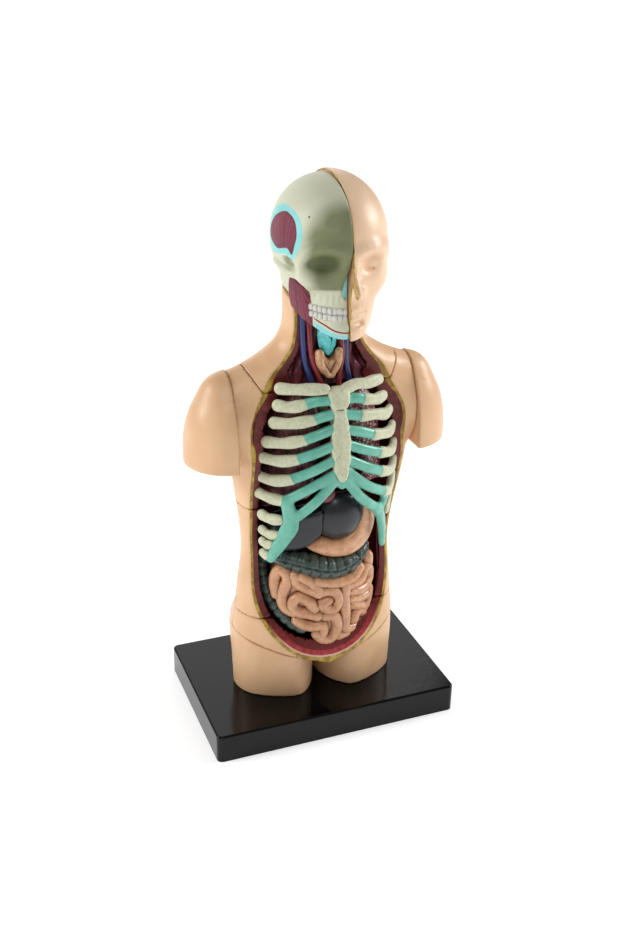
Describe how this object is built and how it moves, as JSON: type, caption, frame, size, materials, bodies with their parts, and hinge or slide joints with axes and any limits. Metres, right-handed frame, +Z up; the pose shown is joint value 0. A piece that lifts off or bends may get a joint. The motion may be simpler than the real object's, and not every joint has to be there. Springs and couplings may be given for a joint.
{
  "type": "torso anatomy model",
  "caption": "Small snap-together human torso anatomy model on a black stand: peach skin shell open at the front, rib cage, organs, half skull and half face.",
  "frame": {"origin": "centre of the underside of the base", "axes": "+Z up, the figure faces -Y, the figure's own right side is at -X"},
  "size_m": [0.054, 0.0375, 0.1138],
  "materials": {
    "skin": "semi-gloss moulded plastic, peach, with a yellow fat line and maroon muscle painted on its cut edges",
    "base_black": "gloss black moulded plastic",
    "bone": "satin cream-green plastic with a brown wash, cartilage painted turquoise",
    "muscle": "satin maroon plastic",
    "lung": "satin dark maroon plastic with fine striping, the left lung speckled white and red",
    "heart_red": "satin dark red plastic",
    "liver_black": "satin charcoal plastic",
    "stomach_tan": "satin tan-orange plastic",
    "colon_green": "satin grey-green plastic",
    "intestine_pink": "satin flesh-pink plastic",
    "kidney_brown": "satin red-brown plastic",
    "cartilage": "gloss turquoise plastic",
    "thyroid_tan": "satin beige plastic",
    "brain_pink": "satin pink plastic"
  },
  "bodies": {
    "base": {"base_plate": "base_black"},
    "figure": {"leg_stump_right": "skin", "leg_stump_left": "skin", "pelvis_front": "skin", "pelvis_back": "skin", "abdomen_right": "skin", "abdomen_left": "skin", "abdomen_back": "skin", "chest_right": "skin", "chest_left": "skin", "chest_back": "skin", "neck_yoke": "skin", "back_wall": "muscle", "spine": "bone", "kidney_right": "kidney_brown", "kidney_left": "kidney_brown", "diaphragm": "muscle", "neck_core": "muscle", "larynx": "cartilage", "thyroid": "thyroid_tan"},
    "arm_right": {"arm_stump_right": "skin"},
    "arm_left": {"arm_stump_left": "skin"},
    "head": {"head_left": "skin"},
    "brain_left": {"brain_left": "brain_pink"},
    "brain_right": {"brain_right": "brain_pink"},
    "skull": {"skull_right": "bone"},
    "large_intestine": {"large_intestine": "colon_green"},
    "small_intestine": {"small_intestine": "intestine_pink"},
    "stomach": {"stomach": "stomach_tan"},
    "liver": {"liver": "liver_black"},
    "heart": {"heart": "heart_red"},
    "lung_left": {"lung_left": "lung"},
    "lung_right": {"lung_right": "lung"},
    "rib_cage": {"rib_cage": "bone"}
  },
  "joints": [
    {"name": "figure_lift", "type": "slide", "parent": "base", "child": "figure", "axis": [0, 0, 1], "range_m": [0, 0.012]},
    {"name": "arm_right_pull", "type": "slide", "parent": "figure", "child": "arm_right", "axis": [-1, 0, 0], "range_m": [0, 0.01]},
    {"name": "arm_left_pull", "type": "slide", "parent": "figure", "child": "arm_left", "axis": [1, 0, 0], "range_m": [0, 0.01]},
    {"name": "head_lift", "type": "slide", "parent": "figure", "child": "head", "axis": [0, 0, 1], "range_m": [0, 0.014]},
    {"name": "brain_left_pull", "type": "slide", "parent": "head", "child": "brain_left", "axis": [-1, 0, 0], "range_m": [0, 0.012]},
    {"name": "brain_right_pull", "type": "slide", "parent": "brain_left", "child": "brain_right", "axis": [-1, 0, 0], "range_m": [0, 0.012]},
    {"name": "skull_pull", "type": "slide", "parent": "brain_right", "child": "skull", "axis": [-1, 0, 0], "range_m": [0, 0.014]},
    {"name": "large_intestine_pull", "type": "slide", "parent": "figure", "child": "large_intestine", "axis": [0, -1, 0], "range_m": [0, 0.018]},
    {"name": "small_intestine_pull", "type": "slide", "parent": "figure", "child": "small_intestine", "axis": [0, -1, 0], "range_m": [0, 0.018]},
    {"name": "stomach_pull", "type": "slide", "parent": "figure", "child": "stomach", "axis": [0, -1, 0], "range_m": [0, 0.018]},
    {"name": "liver_pull", "type": "slide", "parent": "stomach", "child": "liver", "axis": [0, -1, 0], "range_m": [0, 0.018]},
    {"name": "heart_pull", "type": "slide", "parent": "liver", "child": "heart", "axis": [0, -1, 0], "range_m": [0, 0.018]},
    {"name": "lung_left_pull", "type": "slide", "parent": "heart", "child": "lung_left", "axis": [0, -1, 0], "range_m": [0, 0.018]},
    {"name": "lung_right_pull", "type": "slide", "parent": "lung_left", "child": "lung_right", "axis": [0, -1, 0], "range_m": [0, 0.018]},
    {"name": "rib_cage_pull", "type": "slide", "parent": "lung_right", "child": "rib_cage", "axis": [0, -1, 0], "range_m": [0, 0.02]}
  ]
}
